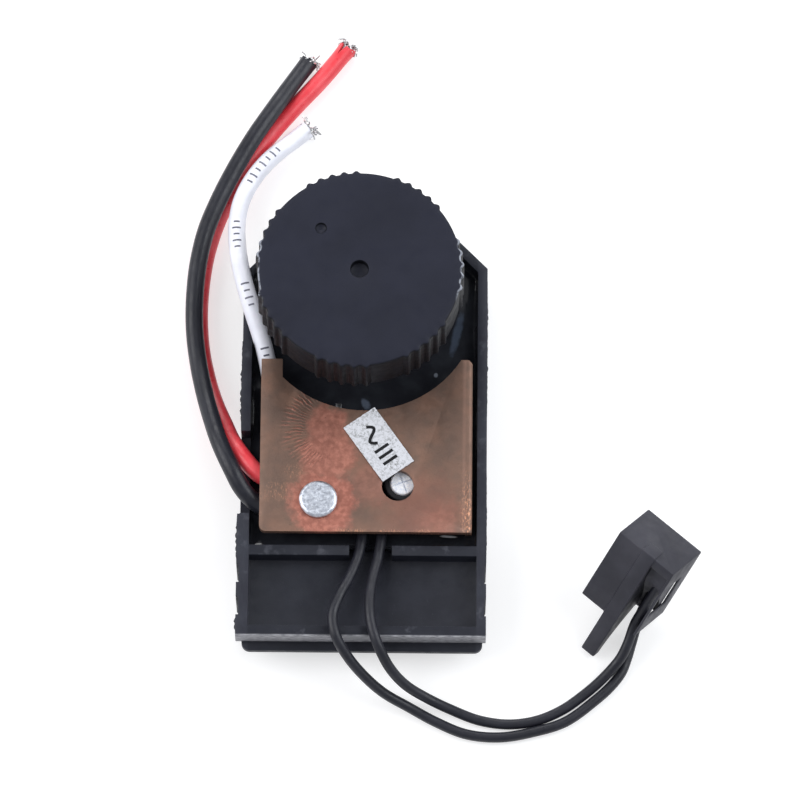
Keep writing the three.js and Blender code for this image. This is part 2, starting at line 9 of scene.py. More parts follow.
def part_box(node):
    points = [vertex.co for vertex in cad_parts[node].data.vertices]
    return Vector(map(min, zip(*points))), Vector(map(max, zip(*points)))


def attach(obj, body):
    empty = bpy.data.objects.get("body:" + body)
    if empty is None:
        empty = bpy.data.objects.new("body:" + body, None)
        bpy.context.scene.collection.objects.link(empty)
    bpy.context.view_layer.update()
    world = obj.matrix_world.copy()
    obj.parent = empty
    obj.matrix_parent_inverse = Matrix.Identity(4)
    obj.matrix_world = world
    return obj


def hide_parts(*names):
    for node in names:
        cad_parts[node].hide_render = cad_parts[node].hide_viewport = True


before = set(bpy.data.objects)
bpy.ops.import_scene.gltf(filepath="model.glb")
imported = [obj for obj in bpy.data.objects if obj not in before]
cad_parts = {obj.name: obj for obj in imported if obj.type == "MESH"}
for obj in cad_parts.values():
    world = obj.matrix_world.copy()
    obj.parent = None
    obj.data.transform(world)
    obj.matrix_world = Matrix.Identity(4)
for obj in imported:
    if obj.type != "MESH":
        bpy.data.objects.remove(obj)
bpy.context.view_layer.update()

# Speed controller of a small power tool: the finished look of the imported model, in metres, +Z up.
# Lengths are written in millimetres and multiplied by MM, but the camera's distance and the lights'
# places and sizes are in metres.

MM = 0.001
ROOT = "controller"
DIAL = "dial"

scene = bpy.context.scene
scene.view_settings.view_transform = "Standard"


def box_mm(node):
    """A node's lowest and highest corners at rest, in millimetres."""
    low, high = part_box(node)
    return [v / MM for v in low], [v / MM for v in high]


def middle_of(node):
    """The middle of a node's box as seen from above, in millimetres."""
    low, high = box_mm(node)
    return (low[0] + high[0]) / 2, (low[1] + high[1]) / 2


TRAY_TOP = box_mm("tray")[1][2]
PLATE_RIGHT, _, PLATE_TOP = box_mm("heat_sink_plate")[1]
WHEEL_BOTTOM = box_mm("thumbwheel")[0][2]
WHEEL_TOP = box_mm("thumbwheel")[1][2]
POT_X, POT_Y = middle_of("pot_housing")


# ---------------------------------------------------------------- camera

TARGET = Vector((4.80, 4.03, 8.0)) * MM
VIEW_DISTANCE = 0.900
VIEW_ELEVATION = math.radians(72)
VIEW_TURN = math.radians(0.5)
SENSOR = 36.0
LENS = 301.4


def make_camera():
    data = bpy.data.cameras.new("camera")
    data.sensor_width = SENSOR
    data.lens = LENS
    data.clip_start = 0.05
    data.clip_end = 20
    camera = bpy.data.objects.new("camera", data)
    scene.collection.objects.link(camera)
    right = Vector((math.cos(VIEW_TURN), math.sin(VIEW_TURN), 0))
    level = Vector((-math.sin(VIEW_TURN), math.cos(VIEW_TURN), 0))
    forward = level * math.cos(VIEW_ELEVATION) - Vector((0, 0, math.sin(VIEW_ELEVATION)))
    up = right.cross(forward)
    camera.matrix_world = Matrix.Translation(TARGET - forward * VIEW_DISTANCE) @ Matrix(
        (right, up, -forward)
    ).transposed().to_4x4()
    scene.camera = camera


make_camera()


# ---------------------------------------------------------------- materials

def srgb(r, g, b):
    """A colour given in 0 to 255 display values, as linear light."""
    def linear(v):
        v /= 255
        return v / 12.92 if v <= 0.04045 else ((v + 0.055) / 1.055) ** 2.4
    return (linear(r), linear(g), linear(b), 1.0)


class Graph:
    """Builds a material's node tree in few words."""

    def __init__(self, name, rough, metal=0.0, specular=0.5):
        self.material = bpy.data.materials.new(name)
        self.material.use_nodes = True
        self.tree = self.material.node_tree
        self.shader = self.tree.nodes["Principled BSDF"]
        self.shader.inputs["Roughness"].default_value = rough
        self.shader.inputs["Metallic"].default_value = metal
        self.shader.inputs["Specular IOR Level"].default_value = specular
        self.where = self.node("ShaderNodeTexCoord").outputs["Object"]

    def node(self, kind, **props):
        made = self.tree.nodes.new(kind)
        for key, value in props.items():
            setattr(made, key, value)
        return made

    def link(self, source, target):
        self.tree.links.new(source, target)

    def put(self, target, value):
        if hasattr(value, "is_output"):
            self.link(value, target)
        else:
            target.default_value = value

    def noise(self, size, detail=3.0, rough=0.55, stretch=None):
        """Noise whose features are about size millimetres across."""
        made = self.node("ShaderNodeTexNoise")
        made.inputs["Scale"].default_value = 1 / (size * MM)
        made.inputs["Detail"].default_value = detail
        made.inputs["Roughness"].default_value = rough
        where = self.where
        if stretch:
            mapping = self.node("ShaderNodeMapping")
            mapping.inputs["Scale"].default_value = stretch
            self.link(self.where, mapping.inputs["Vector"])
            where = mapping.outputs["Vector"]
        self.link(where, made.inputs["Vector"])
        return made.outputs["Fac"]

    def ramp(self, value, low, high, to_low=0.0, to_high=1.0):
        made = self.node("ShaderNodeMapRange", interpolation_type="SMOOTHSTEP")
        self.put(made.inputs["Value"], value)
        made.inputs["From Min"].default_value = low
        made.inputs["From Max"].default_value = high
        made.inputs["To Min"].default_value = to_low
        made.inputs["To Max"].default_value = to_high
        return made.outputs["Result"]

    def math(self, operation, a, b=0.0, c=0.0):
        made = self.node("ShaderNodeMath", operation=operation)
        for socket, value in zip(made.inputs, (a, b, c)):
            self.put(socket, value)
        return made.outputs[0]

    def times(self, first, *others):
        """The product of all the values."""
        product = first
        for other in others:
            product = self.math("MULTIPLY", product, other)
        return product

    def mottle(self, size, dark, light, detail=3.0):
        """Two colours in soft patches about size millimetres across."""
        return self.mix(self.ramp(self.noise(size, detail), 0.3, 0.7), dark, light)

    def mix(self, factor, a, b):
        made = self.node("ShaderNodeMix", data_type="RGBA")
        self.put(made.inputs["Factor"], factor)
        self.put(made.inputs[6], a)
        self.put(made.inputs[7], b)
        return made.outputs[2]

    def axes(self):
        made = self.node("ShaderNodeSeparateXYZ")
        self.link(self.where, made.inputs[0])
        return made.outputs

    def distance(self, point):
        """Distance in millimetres from a point given in millimetres."""
        made = self.node("ShaderNodeVectorMath", operation="DISTANCE")
        self.link(self.where, made.inputs[0])
        made.inputs[1].default_value = [v * MM for v in point]
        return self.math("MULTIPLY", made.outputs["Value"], 1 / MM)

    def facing(self, axis):
        """The surface normal's part along an axis of the piece: 0 is X, 1 is Y and 2 is Z."""
        made = self.node("ShaderNodeSeparateXYZ")
        self.link(self.tree.nodes["Texture Coordinate"].outputs["Normal"], made.inputs[0])
        return made.outputs[axis]

    def colour(self, value):
        self.put(self.shader.inputs["Base Color"], value)

    def roughness(self, value):
        self.put(self.shader.inputs["Roughness"], value)

    def metallic(self, value):
        self.put(self.shader.inputs["Metallic"], value)

    def bump(self, *layers):
        """Each layer is (height from 0 to 1, depth in millimetres)."""
        normal = None
        for height, depth in layers:
            made = self.node("ShaderNodeBump")
            made.inputs["Strength"].default_value = 1.0
            made.inputs["Distance"].default_value = depth * MM
            self.link(height, made.inputs["Height"])
            if normal:
                self.link(normal, made.inputs["Normal"])
            normal = made.outputs["Normal"]
        self.link(normal, self.shader.inputs["Normal"])


def moulded(name, dark, light, rough, grain_depth=0.012):
    """Moulded plastic: slight colour drift, spark-eroded grain and a little dust."""
    g = Graph(name, rough, specular=0.25)
    dust = g.ramp(g.noise(0.35, detail=2), 0.68, 0.8, 0, 0.3)
    g.colour(g.mix(dust, g.mottle(5.0, dark, light), light))
    g.roughness(g.ramp(g.noise(1.6), 0.25, 0.75, rough - 0.1, rough + 0.1))
    g.bump((g.noise(0.18, detail=2), grain_depth), (g.noise(2.5), grain_depth * 2))
    return g.material


def tray_material():
    """Moulded tray: darker inside the walls as painted shade, wall tops rubbed in patches, and a pale band
    along its front that is a painted sheen.
    """
    g = Graph("tray", 0.5, specular=0.25)
    x, y, z = g.axes()
    colour = g.mottle(5.0, srgb(38, 39, 48), srgb(46, 48, 57))
    # Painted shade: the bay inside the walls is coloured darker, as the shade in the recess.
    inside = g.ramp(g.math("ABSOLUTE", x), 15.4 * MM, 15.0 * MM)
    colour = g.mix(inside, colour, g.mottle(4.0, srgb(26, 28, 37), srgb(33, 35, 44)))
    wall_top = g.ramp(z, 7.6 * MM, 7.9 * MM)
    rubbed = g.times(wall_top, g.ramp(g.noise(1.8, detail=5), 0.58, 0.78, 0, 0.35))
    colour = g.mix(rubbed, colour, srgb(96, 97, 106))
    # Painted sheen: a pale streaked grey band on the lower front face stands in for the light that face
    # catches.
    front = g.times(g.ramp(y, -28.7 * MM, -28.97 * MM), g.ramp(z, 5.0 * MM, 5.4 * MM))
    sheen_streaks = g.ramp(g.noise(0.5, detail=5, stretch=(0.5, 1, 2)), 0.3, 0.7, 0.35, 0.95)
    colour = g.mix(g.times(front, sheen_streaks), colour, srgb(168, 168, 173))
    dust = g.ramp(g.noise(0.35, detail=2), 0.68, 0.8, 0, 0.3)
    g.colour(g.mix(dust, colour, srgb(60, 61, 70)))
    g.roughness(g.ramp(g.noise(1.6), 0.25, 0.75, 0.4, 0.62))
    g.bump((g.noise(0.18, detail=2), 0.012), (g.noise(2.5), 0.024))
    return g.material


def wheel_material():
    """Dial: a fine matt top, a rim painted darker as shade, and a painted highlight along its rounded top
    edge at left and right.
    """
    g = Graph("wheel", 0.5, specular=0.2)
    # Painted shade: faces that turn away from up take the darker side colour.
    up = g.facing(2)
    face = g.mottle(9.0, srgb(27, 29, 41), srgb(32, 34, 47))
    side = g.mottle(1.5, srgb(11, 12, 18), srgb(19, 21, 28), detail=4)
    speck = g.ramp(g.noise(0.4, detail=4), 0.68, 0.78, 0, 0.25)
    colour = g.mix(speck, g.mix(g.ramp(up, 0.55, 0.95), side, face), srgb(48, 50, 62))
    # Painted highlight: a pale line on the rounded top edge at left and right stands in for light caught by
    # the rim.
    from_axis = g.math("ABSOLUTE", g.math("SUBTRACT", g.axes()[0], POT_X * MM))
    beside = g.ramp(from_axis, 12.7 * MM, 13.3 * MM)
    edge = g.times(g.ramp(up, 0.15, 0.5), g.ramp(up, 0.99, 0.9))
    rim_highlight = g.times(edge, beside, g.ramp(g.noise(1.0), 0.35, 0.55))
    g.colour(g.mix(rim_highlight, colour, srgb(146, 150, 160)))
    g.roughness(g.ramp(g.noise(1.4), 0.3, 0.7, 0.46, 0.6))
    g.bump((g.noise(0.16, detail=2), 0.008), (g.noise(3.5), 0.02))
    return g.material


def metal(name, dark, light, rough, size=0.6, stretch=None, depth=0.01, metallic=1.0):
    """Plated or drawn metal with mottled tone and fine marks."""
    g = Graph(name, rough, metal=metallic)
    tone = g.ramp(g.noise(size, stretch=stretch), 0.3, 0.7)
    g.colour(g.mix(tone, dark, light))
    g.roughness(g.ramp(g.noise(size * 0.6, stretch=stretch), 0.25, 0.75, rough - 0.1, rough + 0.1))
    g.bump((g.noise(size * 0.4, stretch=stretch), depth))
    return g.material


def pvc(name, base, shade, rough=0.36, specular=0.5):
    """Extruded insulation: soft sheen, faint drag lines and scuffs."""
    g = Graph(name, rough, specular=specular)
    colour = g.mix(g.ramp(g.noise(3.0), 0.25, 0.75), shade, base)
    scuff = g.ramp(g.noise(0.5, detail=4), 0.66, 0.8, 0, 0.25)
    g.colour(g.mix(scuff, colour, shade))
    g.roughness(g.ramp(g.noise(0.8), 0.25, 0.75, rough - 0.07, rough + 0.12))
    g.bump((g.noise(0.5), 0.008), (g.noise(2.2), 0.05))
    return g.material


def painted_glint(g, at, half, lean):
    """An elongated pale patch painted on the resin as a highlight, centred at a point (x, y), leaning from
    the Y axis.
    """
    x, y, _ = g.axes()
    across = g.math("SUBTRACT", x, at[0] * MM)
    along = g.math("SUBTRACT", y, at[1] * MM)
    cos, sin = math.cos(lean), math.sin(lean)
    turned_x = g.math("SUBTRACT", g.times(across, cos), g.times(along, sin))
    turned_y = g.math("ADD", g.times(across, sin), g.times(along, cos))
    square_x = g.math("POWER", g.math("ABSOLUTE", g.math("DIVIDE", turned_x, half[0] * MM)), 2.0)
    square_y = g.math("POWER", g.math("ABSOLUTE", g.math("DIVIDE", turned_y, half[1] * MM)), 2.0)
    ragged = g.times(g.noise(0.8, detail=6), 1.8)
    reach = g.math("ADD", g.math("ADD", square_x, square_y), ragged)
    return g.ramp(reach, 2.65, 1.15, 0, 0.8)


def potting_material():
    """Cast resin: nearly black and glossy, with a few pale patches painted on as highlights where it reflects
    light.
    """
    g = Graph("potting", 0.07)
    cloud = g.ramp(g.noise(3.0), 0.35, 0.75)
    colour = g.mix(cloud, srgb(30, 31, 36), srgb(40, 42, 47))
    # Painted highlights: each entry is a pale patch that stands in for a reflection or glint on the glossy
    # resin.
    for at, half, lean, tone in (
        ((12.4, 14.3), (0.55, 2.9), 0.22, srgb(70, 79, 94)),
        ((0.2, 4.2), (0.5, 0.8), -0.5, srgb(84, 92, 106)),
        ((11.4, -14.35), (1.0, 0.16), 0.05, srgb(206, 208, 214)),
        ((9.6, 8.4), (0.25, 0.3), 0.0, srgb(120, 126, 136)),
    ):
        colour = g.mix(painted_glint(g, at, half, lean), colour, tone)
    g.colour(colour)
    g.roughness(g.ramp(g.noise(1.2), 0.3, 0.8, 0.04, 0.2))
    g.bump((g.noise(4.0, detail=1), 0.12), (g.noise(0.6), 0.006))
    return g.material


def copper_skin(g, wobble):
    """Brown and olive skin, with pink patches where heat and rubbing cleaned it.
    Gives the colour, and how far the skin is scraped off at the left."""
    def patch(at, outer, inner, most, ragged=wobble):
        """A ragged patch round a point (x, y) of the plate's face, from an outer to an inner radius."""
        return g.ramp(g.math("ADD", g.distance((*at, PLATE_TOP)), ragged), outer, inner, 0, most)

    brown = g.mottle(4.5, srgb(111, 91, 81), srgb(133, 103, 88), detail=6)
    olive = g.mix(g.ramp(g.noise(1.4, detail=5), 0.52, 0.74, 0, 0.5), brown, srgb(104, 88, 78))
    rosy = patch((7.5, -12.0), 7.5, 1.5, 0.6, g.times(wobble, 1.6))
    olive = g.mix(rosy, olive, srgb(136, 92, 80))
    pink = 0.0
    for at, outer, inner, most in (
        ((-5.4, -10.9), 5.3, 3.6, 0.95),
        ((-4.7, -4.4), 4.8, 2.6, 0.8),
        ((-5.0, 0.0), 3.4, 1.8, 0.75),
        ((0.8, -8.0), 4.2, 1.2, 0.35),
        ((10.6, -13.6), 4.2, 0.6, 0.32),
    ):
        pink = g.math("MAXIMUM", pink, patch(at, outer, inner, most))
    pinker = g.mix(g.ramp(g.noise(0.7, detail=6), 0.35, 0.7), srgb(158, 100, 86), srgb(192, 127, 110))
    left = g.math("MAXIMUM", patch((-11.6, -9.4), 2.0, 0.6, 0.35), patch((-9.3, -6.3), 1.6, 0.6, 0.3))
    return g.mix(pink, olive, pinker), left


def copper_ripples(g, wobble):
    """Short ripples that fan out across the left and rear rim of the cleaned patch.
    Gives the strength of their ridges and of their valleys."""
    x, y, _ = g.axes()
    centre_x, centre_y = -3.8, -0.4
    off_x = g.math("SUBTRACT", x, centre_x * MM)
    off_y = g.math("SUBTRACT", y, centre_y * MM)
    fan = g.times(g.math("ARCTAN2", off_y, off_x), 74.0)
    ripple = g.math("SINE", g.math("ADD", fan, g.times(g.noise(1.6), 12.0)))
    radius = g.math("ADD", g.distance((centre_x, centre_y, PLATE_TOP)), g.times(wobble, 0.5))
    band = g.times(
        g.ramp(radius, 3.6, 5.0),
        g.ramp(radius, 7.8, 6.2),
        g.ramp(g.math("ADD", x, g.times(y, -0.9)), 0.5 * MM, -3.0 * MM),
        g.ramp(y, -6.6 * MM, -4.6 * MM),
        g.ramp(g.noise(1.3, detail=3), 0.4, 0.6, 0.15, 1.0),
    )
    return g.times(g.ramp(ripple, -0.1, 0.8), band), g.times(g.ramp(ripple, -0.2, -0.9), band)


def copper_material():
    """Oxidised copper: its skin, its ripples, fine dark specks, and bright scrapes on its rim."""
    g = Graph("copper", 0.5, metal=0.6)
    x, y, _ = g.axes()
    wobble = g.times(g.math("SUBTRACT", g.noise(1.9, detail=8, rough=0.65), 0.5), 4.2)
    colour, left_marks = copper_skin(g, wobble)
    ridge, valley = copper_ripples(g, wobble)
    colour = g.mix(g.times(ridge, 0.5), colour, srgb(184, 116, 100))
    colour = g.mix(g.times(valley, 0.6), colour, srgb(92, 74, 66))
    speck = g.ramp(g.noise(0.3, detail=4), 0.64, 0.74, 0, 0.6)
    colour = g.mix(speck, colour, srgb(78, 62, 56))
    crease = g.times(g.ramp(x, 13.1 * MM, 13.4 * MM), g.ramp(x, 13.8 * MM, 13.5 * MM), 0.4)
    colour = g.mix(crease, colour, srgb(150, 118, 104))
    right_strip = g.times(g.ramp(x, 12.7 * MM, 13.7 * MM), g.ramp(y, -4.5 * MM, -13.0 * MM))
    lower_edge = g.times(g.ramp(y, -14.3 * MM, -14.8 * MM), g.ramp(g.noise(2.5), 0.45, 0.6, 0, 0.8))
    scraped = g.math("MAXIMUM", g.math("MAXIMUM", right_strip, lower_edge), left_marks)
    flecks = g.ramp(g.noise(0.3, detail=7, rough=0.7, stretch=(1.5, 0.6, 1)), 0.48, 0.68)
    scrape = g.times(scraped, flecks)
    g.colour(g.mix(scrape, colour, srgb(244, 178, 142)))
    g.metallic(g.math("ADD", 0.6, g.times(scrape, 0.4)))
    g.roughness(g.math("SUBTRACT", g.ramp(g.noise(1.0), 0.3, 0.7, 0.45, 0.62), g.times(scrape, 0.2)))
    g.bump((g.noise(0.25, detail=4), 0.012), (ridge, 0.05), (g.noise(3.0), 0.06))
    return g.material


def label_material():
    """Thin label print: pale grey with specks of worn-off coating."""
    g = Graph("label", 0.6, specular=0.3)
    speckle = g.ramp(g.noise(0.42, detail=5, rough=0.8), 0.47, 0.58)
    patch = g.ramp(g.noise(2.0), 0.35, 0.65, 0.35, 1.0)
    grey = g.mix(g.ramp(g.noise(0.5), 0.35, 0.65), srgb(112, 114, 112), srgb(172, 173, 176))
    g.colour(g.mix(g.times(speckle, patch), srgb(212, 213, 219), grey))
    g.roughness(g.ramp(g.noise(0.5), 0.3, 0.7, 0.45, 0.75))
    g.bump((g.noise(0.2), 0.012))
    return g.material


INK_GRAIN = 0.004
MATERIALS = {
    "tray": tray_material(),
    "wheel": wheel_material(),
    "pickup": moulded("pickup", srgb(48, 48, 55), srgb(56, 56, 64), 0.55),
    "epoxy": moulded("epoxy", srgb(26, 27, 30), srgb(38, 39, 43), 0.5),
    "board": moulded("board", srgb(38, 66, 42), srgb(58, 92, 58), 0.45),
    "film": moulded("film", srgb(140, 104, 40), srgb(168, 126, 54), 0.35),
    "ceramic": moulded("ceramic", srgb(120, 156, 168), srgb(146, 178, 188), 0.45),
    "carbon": moulded("carbon", srgb(20, 20, 21), srgb(34, 34, 36), 0.7),
    "potting": potting_material(),
    "copper": copper_material(),
    "label": label_material(),
    "zinc": metal("zinc", srgb(186, 191, 202), srgb(234, 239, 248), 0.42, size=0.5, depth=0.02),
    "tin": metal("tin", srgb(140, 141, 144), srgb(186, 187, 190), 0.34),
    "can": metal("can", srgb(222, 229, 243), srgb(255, 255, 255), 0.45, size=0.3, depth=0.02, metallic=0.0),
    "strand": metal("strand", srgb(164, 164, 163), srgb(246, 246, 248), 0.3, size=0.3, metallic=0.8),
    "iron": metal("iron", srgb(104, 106, 110), srgb(142, 144, 148), 0.42),
    "winding": metal("winding", srgb(120, 62, 36), srgb(176, 98, 62), 0.3, size=0.2, stretch=(1, 1, 6)),
    "black_pvc": pvc("black_pvc", srgb(35, 36, 44), srgb(27, 28, 36), specular=0.35),
    "lead_pvc": pvc("lead_pvc", srgb(31, 32, 41), srgb(24, 25, 33), 0.42, specular=0.4),
    "red_pvc": pvc("red_pvc", srgb(236, 82, 90), srgb(220, 54, 64), 0.32),
    "white_pvc": pvc("white_pvc", srgb(236, 237, 246), srgb(222, 223, 233), specular=0.4),
    "ink": moulded("ink", srgb(16, 16, 18), srgb(30, 30, 34), 0.6, INK_GRAIN),
    "pale_ink": moulded("pale_ink", srgb(84, 85, 98), srgb(120, 121, 134), 0.6, INK_GRAIN),
}


# ---------------------------------------------------------------- building tools

def smooth(mesh, angle):
    for polygon in mesh.polygons:
        polygon.use_smooth = True
    mesh.set_sharp_from_angle(angle=math.radians(angle))


def place(name, mesh, material, replaces=(), body=ROOT, angle=35):
    """Puts a mesh into the scene as a piece of a body, with faces smoothed over edges up to an angle."""
    obj = bpy.data.objects.new(name, mesh)
    scene.collection.objects.link(obj)
    mesh.materials.clear()
    mesh.materials.append(MATERIALS[material])
    smooth(mesh, angle)
    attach(obj, body)
    if replaces:
        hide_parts(*replaces)
    return obj


def mesh_of(name, verts, faces):
    """A mesh from points in millimetres."""
    mesh = bpy.data.meshes.new(name)
    mesh.from_pydata([[v * MM for v in p] for p in verts], [], faces)
    bm = bmesh.new()
    bm.from_mesh(mesh)
    bmesh.ops.recalc_face_normals(bm, faces=bm.faces)
    bm.to_mesh(mesh)
    bm.free()
    return mesh


def turned(u, v, angle):
    """The direction at an angle from u towards v."""
    return u * math.cos(angle) + v * math.sin(angle)


def ring_faces(first, rings, sides):
    """Faces between closed rings of points that follow one another in a list."""
    faces = []
    for i in range(rings - 1):
        for k in range(sides):
            a = first + i * sides + k
            b = first + i * sides + (k + 1) % sides
            faces.append((a, b, b + sides, a + sides))
    return faces


def capped_faces(first, rings, sides):
    """ring_faces, with the first and the last ring filled in."""
    last = first + (rings - 1) * sides
    ends = [tuple(range(first, first + sides)), tuple(range(last, last + sides))]
    return ring_faces(first, rings, sides) + ends


def sheet_faces(first, rows, columns):
    """Faces of a sheet of points that follow one another row by row."""
    faces = []
    for i in range(rows - 1):
        for k in range(columns - 1):
            a = first + i * columns + k
            faces.append((a, a + 1, a + columns + 1, a + columns))
    return faces


def sheet_rim(rows, columns):
    """The points round the edge of such a sheet, in order."""
    last = (rows - 1) * columns
    rim = list(range(columns)) + [columns - 1 + i * columns for i in range(1, rows)]
    rim += [last + columns - 1 - k for k in range(1, columns)]
    return rim + [last - i * columns for i in range(1, rows - 1)]


def lathe(name, profile, centre, steps=96, radius=None):
    """Turns a profile of (radius, height) about a vertical axis. radius(r, angle, z) may vary it."""
    verts = []
    rings = []
    for r, z in profile:
        if r == 0:
            rings.append([len(verts)])
            verts.append((centre[0], centre[1], z))
            continue
        ring = []
        for i in range(steps):
            angle = 2 * math.pi * i / steps
            reach = radius(r, angle, z) if radius else r
            ring.append(len(verts))
            verts.append((centre[0] + reach * math.cos(angle), centre[1] + reach * math.sin(angle), z))
        rings.append(ring)
    closed = len(rings[0]) > 1
    pairs = list(zip(rings, rings[1:])) + ([(rings[-1], rings[0])] if closed else [])
    faces = []
    for low, high in pairs:
        for i in range(steps):
            j = (i + 1) % steps
            if len(low) == 1:
                faces.append((low[0], high[i], high[j]))
            elif len(high) == 1:
                faces.append((low[i], low[j], high[0]))
            else:
                faces.append((low[i], low[j], high[j], high[i]))
    return mesh_of(name, verts, faces)


def rounded(corners, radius):
    """A profile whose inner corners are rounded; corners is a list of (r, z)."""
    steps = 4
    out = [corners[0]]
    for before, here, after in zip(corners, corners[1:], corners[2:]):
        a, b, c = (Vector(p) for p in (before, here, after))
        reach = min(radius, (a - b).length / 2.2, (c - b).length / 2.2)
        start, end = b + (a - b).normalized() * reach, b + (c - b).normalized() * reach
        for i in range(steps + 1):
            t = i / steps
            out.append(tuple(start.lerp(b, t).lerp(b.lerp(end, t), t)))
    out.append(corners[-1])
    return out


def carve(mesh, cutter):
    """The mesh with a cutter mesh taken away."""
    target = bpy.data.objects.new("carved", mesh)
    tool = bpy.data.objects.new("cutter", cutter)
    for obj in (target, tool):
        scene.collection.objects.link(obj)
    modifier = target.modifiers.new("carve", "BOOLEAN")
    modifier.operation = "DIFFERENCE"
    modifier.solver = "EXACT"
    modifier.object = tool
    result = bpy.data.meshes.new_from_object(target.evaluated_get(bpy.context.evaluated_depsgraph_get()))
    bpy.data.objects.remove(target)
    bpy.data.objects.remove(tool)
    return result


def bevel_edges(bm, edges, width, segments):
    bmesh.ops.bevel(
        bm, geom=edges, offset=width * MM, segments=segments, profile=0.5,
        affect="EDGES", clamp_overlap=True, offset_type="OFFSET",
    )


def from_cad(node, bevel, wide=None, wide_bevel=0.0):
    """A copy of a CAD node's mesh in clean polygons, with its edges rounded.
    wide(edge) picks the edges that take the wide bevel first."""
    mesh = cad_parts[node].data.copy()
    bm = bmesh.new()
    bm.from_mesh(mesh)
    bmesh.ops.remove_doubles(bm, verts=bm.verts, dist=1e-6)
    bmesh.ops.dissolve_limit(bm, angle_limit=math.radians(1), verts=bm.verts, edges=bm.edges)
    if wide:
        bevel_edges(bm, [e for e in bm.edges if e.is_manifold and wide(e)], wide_bevel, 6)
    sharp = math.radians(20)
    bevel_edges(bm, [e for e in bm.edges if e.is_manifold and e.calc_face_angle(0) > sharp], bevel, 2)
    bmesh.ops.recalc_face_normals(bm, faces=bm.faces)
    bm.to_mesh(mesh)
    bm.free()
    return mesh


def through(points, per_step):
    """Points in millimetres on a smooth centripetal curve through the route's points."""
    pts = [Vector(p) for p in points]
    pts = [pts[0] * 2 - pts[1], *pts, pts[-1] * 2 - pts[-2]]
    out = []
    for p0, p1, p2, p3 in zip(pts, pts[1:], pts[2:], pts[3:]):
        t0 = 0.0
        t1 = t0 + (p1 - p0).length ** 0.5
        t2 = t1 + (p2 - p1).length ** 0.5
        t3 = t2 + (p3 - p2).length ** 0.5
        for i in range(per_step):
            t = t1 + (t2 - t1) * i / per_step
            a1 = p0 * ((t1 - t) / (t1 - t0)) + p1 * ((t - t0) / (t1 - t0))
            a2 = p1 * ((t2 - t) / (t2 - t1)) + p2 * ((t - t1) / (t2 - t1))
            a3 = p2 * ((t3 - t) / (t3 - t2)) + p3 * ((t - t2) / (t3 - t2))
            b1 = a1 * ((t2 - t) / (t2 - t0)) + a2 * ((t - t0) / (t2 - t0))
            b2 = a2 * ((t3 - t) / (t3 - t1)) + a3 * ((t - t1) / (t3 - t1))
            out.append(b1 * ((t2 - t) / (t2 - t1)) + b2 * ((t - t1) / (t2 - t1)))
    return out + [pts[-2]]


def length_of(path):
    return sum((b - a).length for a, b in zip(path, path[1:]))


def basis(along):
    """Two directions square to a direction, the first as level as possible."""
    level = along.cross(Vector((0, 0, 1)))
    level = level.normalized() if level.length > 1e-6 else Vector((1, 0, 0))
    return level, level.cross(along).normalized()


def tube(paths, radius, sides):
    """Vertices and faces of closed round tubes along each path, all in one list."""
    verts, faces = [], []
    for path in paths:
        faces += capped_faces(len(verts), len(path), sides)
        for i, point in enumerate(path):
            along = (path[min(i + 1, len(path) - 1)] - path[max(i - 1, 0)]).normalized()
            u, v = basis(along)
            for k in range(sides):
                verts.append(point + turned(u, v, 2 * math.pi * k / sides) * radius)
    return verts, faces


# ---------------------------------------------------------------- wires

BLACK_ROUTE = [
    (-12.6, -11.1, 6.8), (-14.3, -10.3, 6.85), (-16.2, -8.5, 7.6), (-17.7, -5.8, 8.15), (-19.3, -2.2, 7.7),
    (-20.5, 1.6, 6.4), (-21.6, 5.8, 5.1), (-22.5, 10.2, 4.2), (-23.1, 14.8, 3.9), (-23.2, 19.5, 3.9),
    (-22.8, 24.6, 3.9), (-21.8, 29.4, 3.9), (-20.2, 33.7, 3.9), (-18.1, 38.2, 3.9), (-15.6, 42.8, 3.9),
    (-13.1, 46.9, 3.5), (-10.8, 50.7, 2.6), (-8.1, 55.0, 1.6),
]
RED_ROUTE = [
    (-12.7, -7.1, 6.9), (-14.4, -5.9, 7.0), (-16.0, -4.1, 6.9), (-17.7, -1.3, 5.6), (-18.9, 1.7, 3.9),
    (-20.2, 5.0, 2.5), (-21.3, 8.6, 1.6), (-22.2, 12.8, 1.3), (-22.6, 17.6, 1.25), (-22.4, 22.6, 1.25),
    (-21.7, 27.2, 1.25), (-20.4, 31.6, 1.25), (-18.5, 35.9, 1.25), (-16.1, 40.4, 1.25), (-13.2, 44.5, 1.25),
    (-9.9, 48.5, 1.25), (-6.3, 52.6, 1.25), (-2.9, 57.0, 1.25),
]
WHITE_ROUTE = [
    (-12.6, 7.0, 6.85), (-13.2, 10.0, 7.0), (-14.1, 13.3, 7.3), (-15.2, 16.7, 7.4), (-16.2, 20.0, 7.15),
    (-17.0, 23.4, 6.5), (-17.5, 26.9, 5.5), (-17.6, 30.2, 4.6), (-17.1, 33.4, 4.1), (-15.9, 36.3, 3.8),
    (-14.1, 39.1, 3.3), (-12.1, 41.5, 2.3), (-10.3, 43.3, 1.5), (-8.5, 44.9, 1.25),
]
LEAD_1_ROUTE = [
    (-0.1, -11.9, 6.4), (-0.1, -14.6, 6.5), (-0.6, -17.6, 7.0), (-1.6, -20.6, 7.9), (-3.0, -23.6, 8.8),
    (-3.9, -26.6, 9.1), (-3.4, -29.3, 9.0), (-1.8, -31.7, 7.3), (0.4, -33.7, 5.0), (3.0, -35.4, 2.9),
    (6.3, -36.9, 1.4), (10.0, -38.8, 0.85), (14.0, -40.4, 0.75), (18.5, -40.8, 0.75), (23.0, -40.0, 0.75),
    (27.2, -38.6, 0.75), (31.2, -35.6, 0.75), (33.3, -33.6, 0.75), (34.7, -31.7, 0.75), (35.4, -29.9, 0.8),
    (36.0, -27.9, 1.2), (36.6, -25.9, 2.2), (37.3, -24.2, 3.9), (38.4, -22.6, 6.1), (39.6, -21.2, 8.5),
]
